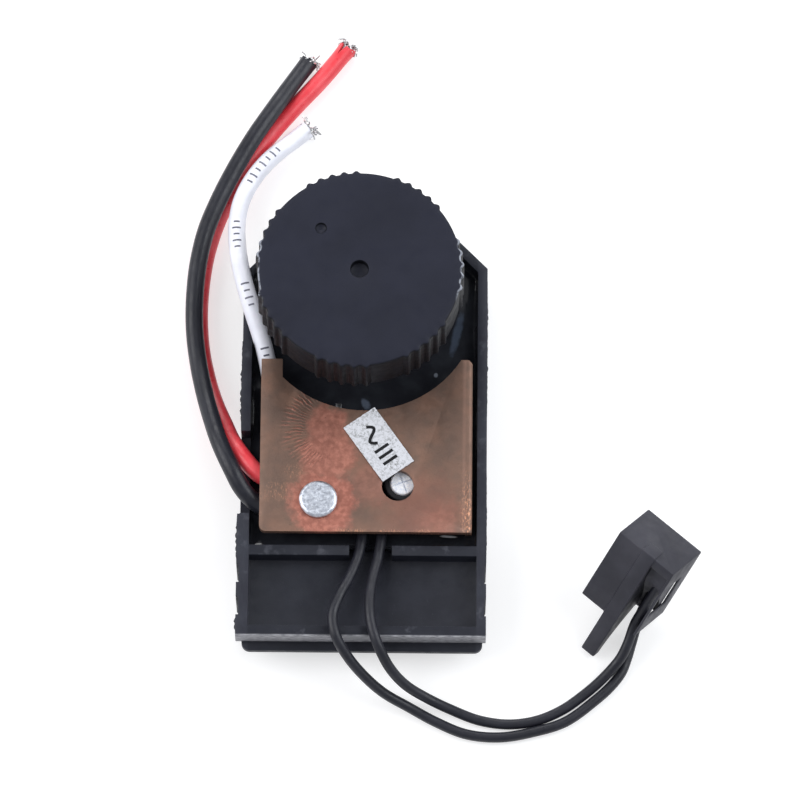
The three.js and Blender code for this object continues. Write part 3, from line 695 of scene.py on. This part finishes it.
LEAD_2_ROUTE = [
    (2.6, -11.9, 6.4), (2.5, -14.6, 6.5), (2.1, -17.7, 7.0), (1.4, -20.9, 7.9), (1.0, -24.2, 8.8),
    (1.2, -27.3, 9.1), (2.1, -30.2, 8.7), (3.7, -32.8, 6.4), (5.8, -34.5, 4.0), (8.6, -35.7, 1.9),
    (12.0, -37.1, 0.95), (15.8, -38.5, 0.75), (19.8, -39.0, 0.75), (23.6, -38.4, 0.75), (26.9, -36.9, 0.75),
    (29.4, -35.1, 0.8), (31.5, -33.35, 1.1), (33.3, -31.6, 1.7), (34.6, -30.1, 2.5), (35.5, -28.4, 3.5),
    (36.4, -26.1, 4.95), (37.5, -24.7, 7.0), (38.6, -23.4, 9.1), (39.7, -22.1, 11.1),
]
CORD_STEPS = 12             # points on the curve between two points of a route
SUPPLY_RADIUS = 1.2
LEAD_RADIUS = 0.7
SLEEVE = 2.4                # length of the torn end of the insulation
BORE = 0.78                 # radius of the hole in the insulation
SLIT_LENGTH = 1.9
SLIT_HALF_WIDTH = 0.26      # in radians round the wire
STRANDS = 26
STRAND_RADIUS = 0.11
STRAND_REACH = 1.7
STRAND_ROOT = 0.9           # how far inside the insulation the strands begin


def cord_piece(name, path, radius, material, replaces):
    """A round curve along a path, which stands for a wire's CAD tube."""
    data = bpy.data.curves.new(name, "CURVE")
    data.dimensions = "3D"
    data.bevel_depth = radius * MM
    data.bevel_resolution = 6
    data.use_fill_caps = True
    spline = data.splines.new("POLY")
    spline.points.add(len(path) - 1)
    for point, at in zip(spline.points, path):
        point.co = (*(at * MM), 1)
    spline.use_smooth = True
    data.materials.append(MATERIALS[material])
    obj = bpy.data.objects.new(name, data)
    scene.collection.objects.link(obj)
    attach(obj, ROOT)
    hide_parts(replaces)
    return obj


def torn_end(name, start, along, material, seed, slit):
    """The last stretch of insulation, open at its end, with a ragged lip and sometimes a slit."""
    sides, rows = 40, 9
    flare = 0.06 if slit is None else 0.12
    u, v = basis(along)
    verts = []
    for wall in (SUPPLY_RADIUS, BORE):
        for i in range(rows):
            t = i / (rows - 1)
            for k in range(sides):
                angle = 2 * math.pi * k / sides
                ragged = 0.30 * noise.noise(Vector((math.cos(angle) * 1.6, math.sin(angle) * 1.6, seed)))
                opened = 0.0
                if slit is not None:
                    off = abs((angle - slit + math.pi) % (2 * math.pi) - math.pi)
                    opened = SLIT_LENGTH * max(0.0, 1 - off / SLIT_HALF_WIDTH)
                run = (SLEEVE + ragged - opened) * t
                verts.append(start + along * run + turned(u, v, angle) * (wall + flare * t * t))
    wall_size = rows * sides
    faces = ring_faces(0, rows, sides) + ring_faces(wall_size, rows, sides)
    for first in (0, wall_size - sides):
        for k in range(sides):
            a, b = first + k, first + (k + 1) % sides
            faces.append((a, b, b + wall_size, a + wall_size))
    return place(name, mesh_of(name, verts, faces), material)


def strand_path(rng, end, along, curl):
    """One bare strand, from inside the insulation's end out over its lip."""
    steps, straight, lowest = 20, 0.28, 0.14
    angle, off = rng.uniform(0, 2 * math.pi), 0.62 * math.sqrt(rng.random())
    side = turned(*basis(along), angle)
    twist = side.cross(along)
    length = STRAND_REACH * rng.uniform(0.55, 1.3)
    bend = curl * rng.uniform(1.2, 4.6)
    hook = rng.uniform(-2.6, 2.6)
    point = end + side * off - along * STRAND_ROOT
    path = []
    for i in range(steps):
        path.append(point + Vector((0, 0, max(0.0, lowest - point.z))))
        free = max(0.0, i / (steps - 1) - straight) / (1 - straight)
        direction = turned(along, side, bend * free) + twist * (hook * free)
        point = point + direction.normalized() * ((length + STRAND_ROOT) / steps)
    return path


def frayed(name, end, along, seed, replaces, curl):
    """Bare strands that leave the bore, hug its lip and curl back over it in small loops."""
    rng = random.Random(seed)
    paths = [strand_path(rng, end, along, curl) for _ in range(STRANDS)]
    verts, faces = tube(paths, STRAND_RADIUS, 7)
    return place(name, mesh_of(name, verts, faces), "strand", (replaces,), angle=60)


def point_along(path, run):
    """The point at a distance along a path, and the path's direction there."""
    gone = 0.0
    for a, b in zip(path, path[1:]):
        step = (b - a).length
        if gone + step >= run:
            break
        gone += step
    return a.lerp(b, (run - gone) / step), (b - a).normalized()


def batch_mark(name, path, start, bars):
    """A group of short printed bars on the upper side of a wire: plain ticks that spell nothing."""
    pitch, half_long, across = 1.05, 0.12, 6
    side = across + 1
    verts, faces = [], []
    for bar in range(bars):
        point, along = point_along(path, start + bar * pitch)
        u, v = basis(along)
        up = v if v.z > 0 else -v
        half_wide = 0.5 if bar % 2 else 0.34
        first = len(verts)
        for lift in (0.012, -0.03):
            for t in (-half_long, half_long):
                for k in range(side):
                    around = turned(up, u, half_wide * (2 * k / across - 1))
                    verts.append(point + along * t + around * (SUPPLY_RADIUS + lift))
        outer, inner = first, first + 2 * side
        faces += sheet_faces(outer, 2, side) + sheet_faces(inner, 2, side)
        rim = sheet_rim(2, side)
        for i, j in zip(rim, rim[1:] + rim[:1]):
            faces.append((outer + i, outer + j, inner + j, inner + i))
    return place(name, mesh_of(name, verts, faces), "pale_ink")


def supply_wire(colour, route, seed, curl, slit=None, marks=()):
    path = through(route, CORD_STEPS)
    material = f"{colour}_pvc"
    whole = length_of(path)
    kept = path
    while length_of(kept) > whole - SLEEVE + 0.2:
        kept = kept[:-1]
    along = (path[-1] - kept[-1]).normalized()
    wire = cord_piece(f"{colour}_insulation", kept, SUPPLY_RADIUS, material, f"{colour}_wire")
    sleeve = torn_end(f"{colour}_torn_end", kept[-1], along, material, seed, slit)
    end = kept[-1] + along * SLEEVE
    bare = frayed(f"{colour}_bare_strands", end, along, seed, f"{colour}_wire_strands", curl)
    printed = [batch_mark(f"{colour}_batch_mark_{i + 1}", path, *mark) for i, mark in enumerate(marks)]


def sensor_lead(name, route, node):
    path = through(route, CORD_STEPS)
    lead = cord_piece(name, path, LEAD_RADIUS, "lead_pvc", node)


supply_wire("black", BLACK_ROUTE, seed=3, curl=1.2)
supply_wire("red", RED_ROUTE, seed=11, slit=1.9, curl=1.1)
supply_wire("white", WHITE_ROUTE, seed=5, curl=0.9, marks=((1.2, 4), (10.6, 4), (19.6, 5), (30.4, 7)))
sensor_lead("sensor_lead_a", LEAD_1_ROUTE, "sensor_lead_1")
sensor_lead("sensor_lead_b", LEAD_2_ROUTE, "sensor_lead_2")


# ---------------------------------------------------------------- tray and potting

WALL = 1.3
TRAY_SIDE = 16.5
BAY_REAR = 27.7
BAY_FRONT = -16.4
BAY_SIDE = TRAY_SIDE - WALL
BAY_CHAMFER = 5.44

place("tray_shell", from_cad("tray", 0.16), "tray", replaces=("tray",))


def flash(name, side, x, y_from, y_to, seed, size):
    """A ragged sliver of moulding flash along the outer edge of a side wall."""
    steps = int((y_to - y_from) / 0.22)
    verts = []
    for i in range(steps + 1):
        y = y_from + (y_to - y_from) * i / steps
        taper = min(1.0, 4.0 * i / steps, 4.0 * (steps - i) / steps)
        coarse = abs(noise.noise(Vector((y * 1.1, seed, 0))))
        fine = abs(noise.noise(Vector((y * 3.1, seed, 4))))
        out = x + side * (0.015 + size * (coarse + 0.6 * fine) * taper)
        back = x - side * 0.25
        for reach, drop in ((back, 0.75), (out, 0.6), (out, 0.28), (back, 0.14)):
            verts.append((reach, y, TRAY_TOP - drop))
    mesh = mesh_of(name, verts, capped_faces(0, steps + 1, 4))
    place(name, mesh, "tray", angle=50)


flash("flash_left_front", -1, -16.85, -18.6, -12.4, 1.0, 0.34)
flash("flash_left_middle", -1, -16.5, 0.0, 11.6, 2.0, 0.42)
flash("flash_left_corner", -1, -16.85, -28.6, -26.5, 3.0, 0.3)
flash("flash_right_front", 1, 16.5, -18.6, -6.0, 4.0, 0.14)
flash("flash_right_rear", 1, 16.5, 2.0, 21.0, 5.0, 0.16)


def bay_half_width(y):
    return BAY_SIDE - max(0.0, y - (BAY_REAR - BAY_CHAMFER))


def spaced(count, crowd):
    """Values from -1 to 1, closer together near both ends."""
    return [math.tanh(crowd * (2 * i / count - 1)) / math.tanh(crowd) for i in range(count + 1)]


pot_low, pot_high = box_mm("pot_housing")
POT_RADIUS = (pot_high[0] - pot_low[0]) / 2


def potting_mesh():
    """Resin surface that climbs at the walls and round the potentiometer, over a flat base."""
    level, base = 5.5, 3.35
    columns, rows = spaced(96, 1.9), spaced(128, 1.9)
    verts = []
    for row in rows:
        y = BAY_FRONT + (BAY_REAR - BAY_FRONT) * (row + 1) / 2
        half = bay_half_width(y)
        for column in columns:
            x = column * half
            wall = min(half - abs(x), y - BAY_FRONT, BAY_REAR - y)
            round_pot = math.hypot(x - POT_X, y - POT_Y) - POT_RADIUS
            climb = 0.75 * math.exp(-max(wall, 0) / 0.55) + 0.55 * math.exp(-max(round_pot, 0) / 0.7)
            swell = 0.10 * noise.noise(Vector((x * 0.16, y * 0.16, 3.0)))
            ripple = 0.03 * noise.noise(Vector((x * 0.7, y * 0.7, 9.0)))
            verts.append((x, y, level + climb + swell + ripple))
    faces = sheet_faces(0, len(rows), len(columns))
    rim = sheet_rim(len(rows), len(columns))
    low = list(range(len(verts), len(verts) + len(rim)))
    verts += [(verts[index][0], verts[index][1], base) for index in rim]
    for i in range(len(rim)):
        j = (i + 1) % len(rim)
        faces.append((rim[i], low[i], low[j], rim[j]))
    faces.append(tuple(low))
    bore = POT_RADIUS - 0.05
    well = lathe("well", [(0, base - 1), (bore, base - 1), (bore, 8), (0, 8)], (POT_X, POT_Y))
    return carve(mesh_of("potting", verts, faces), well)


place("potting_resin", potting_mesh(), "potting", replaces=("potting_compound",), angle=60)


# ---------------------------------------------------------------- heat sink, rivet and label

def along_bend(edge):
    """The outer top edge where the plate turns down on its right."""
    corner = Vector((PLATE_RIGHT, PLATE_TOP))
    return all((Vector((v.co.x, v.co.z)) / MM - corner).length < 0.02 for v in edge.verts)


place(
    "heat_sink_sheet", from_cad("heat_sink_plate", 0.1, wide=along_bend, wide_bevel=0.8), "copper",
    replaces=("heat_sink_plate",), angle=28,
)

rivet_low, rivet_high = box_mm("heat_sink_rivet")


def rivet_radius(r, angle, z):
    """The rivet's rims are slightly out of round."""
    return r + (0.03 * noise.noise(Vector((math.cos(angle) * 1.7, math.sin(angle) * 1.7, z))) if r > 2 else 0)


rivet_profile = rounded([
    (0, rivet_low[2]), (1.9, rivet_low[2]), (2.4, rivet_low[2] + 0.35), (2.4, rivet_low[2] + 0.9),
    (1.6, rivet_low[2] + 0.9), (1.6, PLATE_TOP + 0.02), (2.55, PLATE_TOP + 0.02), (2.58, PLATE_TOP + 0.45),
    (2.2, rivet_high[2] - 0.12), (1.9, rivet_high[2] - 0.16), (0, rivet_high[2] - 0.06),
], 0.22)
place(
    "rivet", lathe("rivet", rivet_profile, middle_of("heat_sink_rivet"), 96, rivet_radius), "zinc",
    replaces=("heat_sink_rivet",),
)

LABEL_TURN = math.radians(-54.5)
LABEL_AT = (2.0, -2.7)
LABEL_SIZE = (9.2, 5.1)


def on_label(a, b, lift):
    """A point of the label sheet: a along its long side, b across it."""
    droop = -0.10 * max(0.0, (a - 3.4)) ** 2 * 0.3
    x = LABEL_AT[0] + a * math.cos(LABEL_TURN) - b * math.sin(LABEL_TURN)
    y = LABEL_AT[1] + a * math.sin(LABEL_TURN) + b * math.cos(LABEL_TURN)
    wave = 0.03 * (1 + noise.noise(Vector((a * 0.6, b * 0.6, 2.0))))
    return (x, y, PLATE_TOP + 0.02 + wave + droop + lift)


def label_mesh():
    rows, columns, thick = 37, 21, 0.13
    verts = []
    for lift in (0.0, thick):
        for i in range(rows):
            for k in range(columns):
                a = LABEL_SIZE[0] * (i / (rows - 1) - 0.5)
                b = LABEL_SIZE[1] * (k / (columns - 1) - 0.5)
                if i in (0, rows - 1):
                    a += 0.06 * noise.noise(Vector((b * 2.2, i, 0)))
                if k in (0, columns - 1):
                    b += 0.04 * noise.noise(Vector((a * 2.2, k, 5)))
                verts.append(on_label(a, b, lift))
    sheet = rows * columns
    faces = sheet_faces(0, rows, columns) + sheet_faces(sheet, rows, columns)
    rim = sheet_rim(rows, columns)
    for a, b in zip(rim, rim[1:] + rim[:1]):
        faces.append((a, b, b + sheet, a + sheet))
    return mesh_of("label", verts, faces)


def stroke(points, width):
    """Vertices and faces of a flat ink stroke on the label, along points (a, b)."""
    top, underside = 0.145, 0.1
    verts = []
    for i, (a, b) in enumerate(points):
        before, after = points[max(i - 1, 0)], points[min(i + 1, len(points) - 1)]
        run = Vector((after[0] - before[0], after[1] - before[1])).normalized()
        for side, lift in ((-1, top), (1, top), (1, underside), (-1, underside)):
            verts.append(on_label(a - run.y * side * width / 2, b + run.x * side * width / 2, lift))
    return verts, capped_faces(0, len(points), 4)


place("label_sheet", label_mesh(), "label", replaces=("rating_label",), angle=50)
wave = [(-2.9 + 2.7 * i / 24, 0.75 * math.sin(2 * math.pi * i / 24)) for i in range(25)]
bars = [[(a, -1.1), (a, 0.0), (a, 1.1)] for a in (0.7, 1.7, 2.7)]
for number, points in enumerate((wave, *bars)):
    mark = mesh_of("mark", *stroke(points, 0.42))
    place(f"label_mark_{number + 1}", mark, "ink", angle=50)


# ---------------------------------------------------------------- components

can_low, can_high = box_mm("filter_capacitor_can")
CAN_X, CAN_Y = middle_of("filter_capacitor_can")
CAN_FACE = 1.66             # radius of the bright end face that the sleeve's rolled lip leaves open
can_top = can_high[2]
can_profile = rounded([
    (0, can_low[2]), (2.15, can_low[2]), (2.15, can_top - 0.55), (CAN_FACE + 0.1, can_top - 0.5),
    (CAN_FACE, can_top - 0.1), (CAN_FACE - 0.15, can_top), (0, can_top + 0.03),
], 0.12)
can_mesh = lathe("can", can_profile, (CAN_X, CAN_Y), 64)
for turn in (0.35, 0.35 + math.pi / 2):
    outline = ((-1.4, -0.1), (1.4, -0.1), (1.4, 0.1), (-1.4, 0.1))
    groove = [Matrix.Rotation(turn, 2) @ Vector(corner) for corner in outline]
    verts = [(CAN_X + p.x, CAN_Y + p.y, z) for z in (can_top - 0.24, can_top + 0.5) for p in groove]
    can_mesh = carve(can_mesh, mesh_of("groove", verts, capped_faces(0, 2, 4)))
place("capacitor_can", can_mesh, "can", replaces=("filter_capacitor_can",))

sleeve_low, sleeve_high = box_mm("filter_capacitor_sleeve")


def ribbed(r, angle, z):
    return r + (0.05 * math.cos(36 * angle) if r > 2.4 else 0)


sleeve_top = sleeve_high[2]
sleeve_profile = rounded([
    (2.2, sleeve_low[2]), (2.55, sleeve_low[2]), (2.58, sleeve_top - 0.3), (2.4, sleeve_top),
    (CAN_FACE + 0.12, sleeve_top + 0.1), (CAN_FACE + 0.12, sleeve_top - 0.08), (2.2, sleeve_top - 0.25),
], 0.1)
place(
    "capacitor_sleeve", lathe("sleeve", sleeve_profile, (CAN_X, CAN_Y), 288, ribbed), "epoxy",
    replaces=("filter_capacitor_sleeve",),
)

for node, bevel, material, slot, body in (
    ("circuit_board", 0.06, "board", "board_laminate", ROOT),
    ("triac_body", 0.3, "epoxy", "epoxy", ROOT),
    ("triac_tab", 0.12, "tin", "tinned_metal", ROOT),
    ("triac_lead_1", 0.06, "tin", "tinned_metal", ROOT),
    ("triac_lead_2", 0.06, "tin", "tinned_metal", ROOT),
    ("triac_lead_3", 0.06, "tin", "tinned_metal", ROOT),
    ("film_capacitor", 0.7, "film", "film", ROOT),
    ("control_chip", 0.12, "epoxy", "epoxy", ROOT),
    ("dropper_resistor", 0.2, "ceramic", "ceramic", ROOT),
    ("diode", 0.2, "epoxy", "epoxy", ROOT),
    ("pot_housing", 0.2, "epoxy", "epoxy", ROOT),
    ("pot_cover", 0.12, "tin", "tinned_metal", ROOT),
    ("resistive_track", 0.05, "carbon", "carbon_track", ROOT),
    ("pot_terminal_1", 0.06, "tin", "tinned_metal", ROOT),
    ("pot_terminal_2", 0.06, "tin", "tinned_metal", ROOT),
    ("pot_terminal_3", 0.06, "tin", "tinned_metal", ROOT),
    ("pot_shaft", 0.1, "tin", "tinned_metal", DIAL),
    ("wiper", 0.08, "tin", "tinned_metal", DIAL),
    ("pickup_housing", 0.22, "pickup", "pickup_plastic", ROOT),
    ("pickup_coil", 0.12, "winding", "winding", ROOT),
    ("pickup_pole", 0.1, "iron", "iron", ROOT),
):
    place(f"{node}_finished", from_cad(node, bevel), material, (node,), body)


PICKUP_CORNER = Vector((34.1, -16.5, 15.5))
PICKUP_TURN = Matrix.Rotation(math.radians(-130), 3, "Z") @ Matrix.Rotation(math.radians(51), 3, "Y")


def recess_resin():
    """Black resin that holds the ends of the leads in the pickup's recess, sloping down to its front."""
    rear, front, near, far, floor = 1.5, 10.5, 6.1, 8.8, -5.5
    long_steps, wide_steps = 24, 12
    verts = []
    for i in range(long_steps + 1):
        t = i / long_steps
        x = rear + (front - rear) * t
        slope = max(0.0, (t - 0.15) / 0.85)
        crown = -0.9 - 4.3 * slope * slope * (3 - 2 * slope)
        ring = [(x, near, floor), (x, far, floor)]
        for k in range(wide_steps + 1):
            y = far + (near - far) * k / wide_steps
            rim = 0.22 * abs(2 * k / wide_steps - 1) ** 3
            lump = 0.08 * noise.noise(Vector((x * 0.9, y * 0.9, 7.0)))
            ring.append((x, y, max(floor + 0.1, crown + rim + lump)))
        verts += [PICKUP_CORNER + PICKUP_TURN @ Vector(p) for p in ring]
    return mesh_of("recess_resin", verts, capped_faces(0, long_steps + 1, wide_steps + 3))


place("pickup_resin", recess_resin(), "pickup", angle=50)


# ---------------------------------------------------------------- thumbwheel

LAND_RADIUS = 13.6
TOOTH_HEIGHT = 0.4
TOOTH_SWING = 0.62          # the part of a tooth's height that is a cosine; the rest lifts it
GROUPS = 7
TEETH = 5
PITCH = math.radians(6.9)
FIRST_GROUP = math.radians(54.8)


def tooth_wave(angle):
    """A tooth's height at an angle, from 0 on the plain land to 1 at its crest."""
    step = 2 * math.pi / GROUPS
    off = angle - FIRST_GROUP
    off -= step * round(off / step)
    if abs(off) > TEETH / 2 * PITCH:
        return 0.0
    return max(0.0, TOOTH_SWING * math.cos(2 * math.pi * off / PITCH) + 1 - TOOTH_SWING)


def wheel_radius(r, angle, z):
    """Teeth on the rim, a little lower towards the top edge."""
    if r < LAND_RADIUS - 1.0:
        return r
    fade = 1 - 0.35 * max(0.0, (z - (WHEEL_TOP - 0.5)) / 0.5)
    return r + TOOTH_HEIGHT * tooth_wave(angle) * fade


DEPTH = WHEEL_TOP - WHEEL_BOTTOM
# Each corner is (radius, depth under the top face).
WHEEL_SECTION = [
    (0, 1.9), (3.1, 1.9), (3.1, DEPTH), (4.8, DEPTH), (4.8, 2.3), (5.1, 2), (11.2, 2), (11.55, 2.4),
    (11.55, DEPTH - 0.15), (11.7, DEPTH), (13.4, DEPTH), (LAND_RADIUS, DEPTH - 0.2), (LAND_RADIUS, 0.34),
    (LAND_RADIUS - 0.05, 0.16), (LAND_RADIUS - 0.15, 0.05), (LAND_RADIUS - 0.3, 0), (12.3, 0), (9, 0), (5, 0),
    (1.45, 0), (1.25, 0.05), (1.15, 0.2), (1.15, 1.1), (1.0, 1.2), (0, 1.2),
]
DIMPLE_SECTION = [(0, 0.5), (0.45, 0.46), (0.66, 0.3), (0.7, 0.1), (0.8, -0.02), (0.8, -1), (0, -1)]
DIMPLE_ANGLE = math.radians(132.4)
DIMPLE_REACH = 7.7
WHEEL_STEPS = 980
dimple_at = (POT_X + DIMPLE_REACH * math.cos(DIMPLE_ANGLE), POT_Y + DIMPLE_REACH * math.sin(DIMPLE_ANGLE))


def below_top(section):
    return [(r, WHEEL_TOP - depth) for r, depth in section]


wheel_mesh = carve(
    lathe("wheel", below_top(WHEEL_SECTION), (POT_X, POT_Y), WHEEL_STEPS, wheel_radius),
    lathe("dimple", below_top(DIMPLE_SECTION), dimple_at, 40),
)
place("dial_wheel", wheel_mesh, "wheel", ("thumbwheel",), DIAL, angle=40)


# ---------------------------------------------------------------- floor and light

def floor_material():
    """A pale sweep that glows a little, as a back-lit product table does, so that shadows stay faint."""
    g = Graph("floor", 0.9, specular=0.1)
    g.colour(g.mix(g.noise(90.0, detail=2), (0.50, 0.50, 0.505, 1), (0.53, 0.53, 0.535, 1)))
    g.shader.inputs["Emission Color"].default_value = (1, 1, 1, 1)
    g.shader.inputs["Emission Strength"].default_value = 0.58
    return g.material


def make_floor():
    size = 6000
    corners = [(-size, -size, 0), (size, -size, 0), (size, size, 0), (-size, size, 0)]
    mesh = mesh_of("floor", corners, [(0, 1, 2, 3)])
    mesh.materials.append(floor_material())
    floor = bpy.data.objects.new("floor", mesh)
    scene.collection.objects.link(floor)


def softbox(name, at, size, power, tint=(1, 1, 1)):
    """A soft rectangular light that faces the origin."""
    data = bpy.data.lights.new(name, "AREA")
    data.shape = "RECTANGLE"
    data.size, data.size_y = size
    data.energy = power
    data.color = tint
    light = bpy.data.objects.new(name, data)
    scene.collection.objects.link(light)
    light.location = Vector(at)
    light.rotation_mode = "QUATERNION"
    light.rotation_quaternion = (-Vector(at)).to_track_quat("-Z", "Y")
    light.visible_camera = False


def make_light():
    world = bpy.data.worlds.new("studio")
    world.use_nodes = True
    background = world.node_tree.nodes["Background"]
    background.inputs["Color"].default_value = (0.93, 0.95, 1.0, 1)
    background.inputs["Strength"].default_value = 0.44
    scene.world = world
    softbox("left", (-0.75, 0.10, 0.65), (0.7, 0.9), 7.2)
    softbox("right", (0.75, 0.15, 0.65), (0.7, 0.9), 7.2, (0.95, 0.98, 1.0))
    softbox("rear", (0.0, 0.85, 0.55), (0.9, 0.4), 4.2)


make_floor()
make_light()
